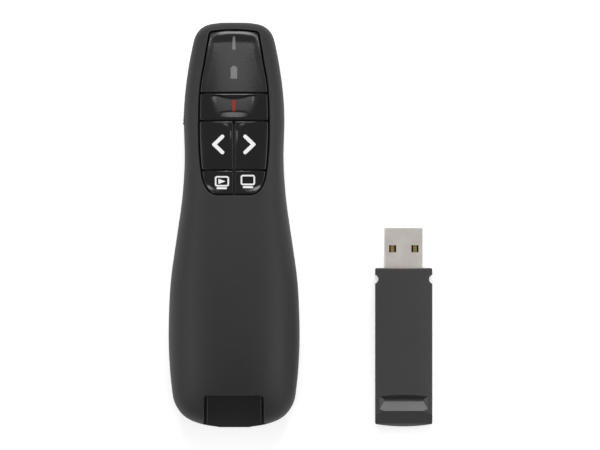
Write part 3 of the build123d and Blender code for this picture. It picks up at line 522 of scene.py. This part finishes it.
screen_stroke = 0.5
arrow = [(-4.75, 12.62), (-2.55, 13.42), (-4.75, 14.22)]
small_marks = [
    ("slideshow_screen", box_outline(-5.84, -1.45, 11.82, 15.06), 0.7, "slideshow_key", screen_stroke),
    ("slideshow_arrow", arrow, 0.08, "slideshow_key", None),
    ("slideshow_base", box_outline(-5.28, -2.13, 11.03, 11.6), 0.15, "slideshow_key", None),
    ("blank_screen", box_outline(2.10, 6.55, 12.22, 15.44), 0.7, "blank_screen_key", screen_stroke),
    ("blank_screen_base", box_outline(2.81, 5.90, 11.35, 11.95), 0.15, "blank_screen_key", None),
]
for name, outline, bevel, body, stroke in small_marks:
    lay_mark(name, outline, [bevel] * len(outline), small_relief, white_print, body,
             stroke=stroke)

# ---------------------------------------------------------------- key frame, board and switches
# Under the keys a black frame carries them over a green circuit board with sprung steel switches.
frame_black, _, _ = moulded("frame_black", (0.018, 0.018, 0.018), 0.45, 3500.0, 0.2)
finish_nodes(frame_black, "key_frame")
plunger_black, _, _ = moulded("plunger_black", (0.02, 0.02, 0.021), 0.35, 5000.0, 0.1)
finish_nodes(plunger_black, "laser_switch_plunger", "back_switch_plunger", "next_switch_plunger",
             "slideshow_switch_plunger", "blank_screen_switch_plunger")


def board_finish():
    """Green solder resist over copper tracks, which show as a faint lighter grid."""
    material, tree, shader = moulded("board_green", (0.012, 0.085, 0.035), 0.35, 4000.0, 0.1)
    where = tree.nodes.new("ShaderNodeTexCoord")
    tracks = tree.nodes.new("ShaderNodeTexBrick")
    tracks.inputs["Scale"].default_value = 420.0
    tracks.inputs["Mortar Size"].default_value = 0.06
    tracks.inputs["Color1"].default_value = (0.012, 0.085, 0.035, 1)
    tracks.inputs["Color2"].default_value = (0.010, 0.070, 0.030, 1)
    tracks.inputs["Mortar"].default_value = (0.035, 0.15, 0.05, 1)
    tree.links.new(where.outputs["Object"], tracks.inputs["Vector"])
    tree.links.new(tracks.outputs["Color"], shader.inputs["Base Color"])
    return material


finish_nodes(board_finish(), "main_board", "receiver_board")
chip_black, _, _ = moulded("chip_black", (0.016, 0.016, 0.017), 0.55, 6000.0, 0.4)
finish_nodes(chip_black, "board_chips", "receiver_chips")


def metal(name, colour, roughness, stretch, depth=0.15):
    """Bare metal with fine drawn lines; a stretch below 1 draws them out along that axis."""
    material, tree, shader = new_finish(name)
    where = tree.nodes.new("ShaderNodeTexCoord")
    along = tree.nodes.new("ShaderNodeMapping")
    along.inputs["Scale"].default_value = stretch
    tree.links.new(where.outputs["Object"], along.inputs["Vector"])
    lines = tree.nodes.new("ShaderNodeTexNoise")
    lines.inputs["Scale"].default_value = 6000.0
    lines.inputs["Detail"].default_value = 2.0
    tree.links.new(along.outputs["Vector"], lines.inputs["Vector"])
    bump = tree.nodes.new("ShaderNodeBump")
    bump.inputs["Strength"].default_value = depth
    bump.inputs["Distance"].default_value = 0.00002
    tree.links.new(lines.outputs["Fac"], bump.inputs["Height"])
    tree.links.new(bump.outputs["Normal"], shader.inputs["Normal"])
    stain = tree.nodes.new("ShaderNodeTexNoise")
    stain.inputs["Scale"].default_value = 260.0
    stain.inputs["Detail"].default_value = 4.0
    tree.links.new(where.outputs["Object"], stain.inputs["Vector"])
    gloss = tree.nodes.new("ShaderNodeMapRange")
    gloss.inputs["To Min"].default_value = roughness - 0.06
    gloss.inputs["To Max"].default_value = roughness + 0.06
    tree.links.new(stain.outputs["Fac"], gloss.inputs["Value"])
    tree.links.new(gloss.outputs["Result"], shader.inputs["Roughness"])
    shade = tree.nodes.new("ShaderNodeMapRange")
    shade.inputs["To Min"].default_value = 0.92
    shade.inputs["To Max"].default_value = 1.08
    tree.links.new(stain.outputs["Fac"], shade.inputs["Value"])
    tint = tree.nodes.new("ShaderNodeVectorMath")
    tint.operation = "SCALE"
    tint.inputs[0].default_value = colour
    tree.links.new(shade.outputs["Result"], tint.inputs["Scale"])
    tree.links.new(tint.outputs["Vector"], shader.inputs["Base Color"])
    shader.inputs["Metallic"].default_value = 1.0
    return material


switch_steel = metal("switch_steel", (0.55, 0.55, 0.54), 0.35, (1, 0.1, 1))
finish_nodes(switch_steel, "tact_switch_bodies", "power_switch_body")
led_clear, _, shader = moulded("led_clear", (0.75, 0.75, 0.70), 0.15, 3000.0, 0.02)
shader.inputs["Subsurface Weight"].default_value = 0.3
shader.inputs["Subsurface Radius"].default_value = (0.0004, 0.0004, 0.0004)
finish_nodes(led_clear, "status_led")

# ---------------------------------------------------------------- power switch
# A ribbed ABS knob on the left side slides towards the nose to switch the handset on.
satin_knob, _, _ = moulded("satin_knob", (0.016, 0.016, 0.017), 0.38, 4000.0, 0.15)
finish_nodes(satin_knob, "power_switch_knob")

# ---------------------------------------------------------------- laser module
# A knurled brass barrel holds the diode and its glass lens behind a red window in the nose.
laser_brass = metal("laser_brass", (0.72, 0.50, 0.20), 0.28, (1, 1, 1), 0.25)
finish_nodes(laser_brass, "laser_barrel")
diode_steel = metal("diode_steel", (0.60, 0.58, 0.54), 0.3, (1, 1, 1))
finish_nodes(diode_steel, "laser_diode")
lens_glass, _, shader = moulded("laser_glass", (0.95, 0.97, 0.97), 0.03, 3000.0, 0.01, rub=0.01)
shader.inputs["Transmission Weight"].default_value = 1.0
shader.inputs["IOR"].default_value = 1.5
finish_nodes(lens_glass, "laser_lens")
window_red, _, shader = moulded("laser_window_red", (0.45, 0.02, 0.015), 0.08, 3000.0, 0.01, rub=0.03)
shader.inputs["Coat Weight"].default_value = 1.0
finish_nodes(window_red, "laser_window")

# ---------------------------------------------------------------- cells, contacts and springs
# Two AAA cells in printed sleeves lie head to tail between plated spring-steel contacts, each with
# its copper band at its positive end.


def sleeve_finish(name, band_start, band_full):
    """Printed sleeve: a dark body with a copper band past one place along Y, under clear film."""
    material, tree, shader = moulded(name, (0.03, 0.03, 0.032), 0.3, 2500.0, 0.05)
    where = tree.nodes.new("ShaderNodeTexCoord")
    parts = tree.nodes.new("ShaderNodeSeparateXYZ")
    tree.links.new(where.outputs["Object"], parts.inputs["Vector"])
    band = tree.nodes.new("ShaderNodeMapRange")
    band.inputs["From Min"].default_value = band_start
    band.inputs["From Max"].default_value = band_full
    tree.links.new(parts.outputs["Y"], band.inputs["Value"])
    mix = tree.nodes.new("ShaderNodeMix")
    mix.data_type = "RGBA"
    mix.inputs["A"].default_value = (0.03, 0.03, 0.032, 1)
    mix.inputs["B"].default_value = (0.55, 0.27, 0.09, 1)
    tree.links.new(band.outputs["Result"], mix.inputs["Factor"])
    tree.links.new(mix.outputs["Result"], shader.inputs["Base Color"])
    shader.inputs["Metallic"].default_value = 0.6
    return material


finish_nodes(sleeve_finish("sleeve_plus_to_nose", -0.0185, -0.0183), "battery_left")
finish_nodes(sleeve_finish("sleeve_plus_to_tail", -0.0380, -0.0382), "battery_right")
spring_steel = metal("spring_steel", (0.62, 0.61, 0.58), 0.25, (0.1, 1, 1))
finish_nodes(spring_steel, "bridge_contact", "positive_contact", "negative_contact", "contact_springs")
screw_black = metal("screw_black", (0.06, 0.06, 0.062), 0.35, (1, 1, 1))
finish_nodes(screw_black, "case_screws")

# ---------------------------------------------------------------- receiver bay
# A gloss cradle in the tail holds the stowed receiver.  Its floor and two rails show in the cut-out.
bay_gloss, _, _ = moulded("bay_gloss", (0.012, 0.012, 0.013), 0.20, 3000.0, 0.03, rub=0.12,
                          mottle=0.2)
finish_nodes(bay_gloss, "receiver_bay")

# ---------------------------------------------------------------- receiver
# The receiver's two satin halves snap round a drawn steel plug with gold-plated contacts on a
# black tongue.
satin_dark, _, shader = moulded("satin_dark", (0.0135, 0.0135, 0.014), 0.48, 4200.0, 0.22, rub=0.10,
                                mottle=0.2)
shader.inputs["Specular IOR Level"].default_value = 0.85
shader.inputs["Coat Weight"].default_value = 0.2
shader.inputs["Coat Roughness"].default_value = 0.5
finish_nodes(satin_dark, "receiver_upper_shell", "receiver_lower_shell")
plug_steel = metal("steel_plug", (0.86, 0.80, 0.755), 0.45, (1, 0.15, 1), 0.10)
finish_nodes(plug_steel, "usb_shell")
gold = metal("gold_contact", (0.80, 0.55, 0.20), 0.3, (1, 0.2, 1))
finish_nodes(gold, "usb_contacts")
tongue_plastic, _, _ = moulded("tongue_plastic", (0.020, 0.020, 0.021), 0.5, 4500.0, 0.2)
finish_nodes(tongue_plastic, "usb_tongue")
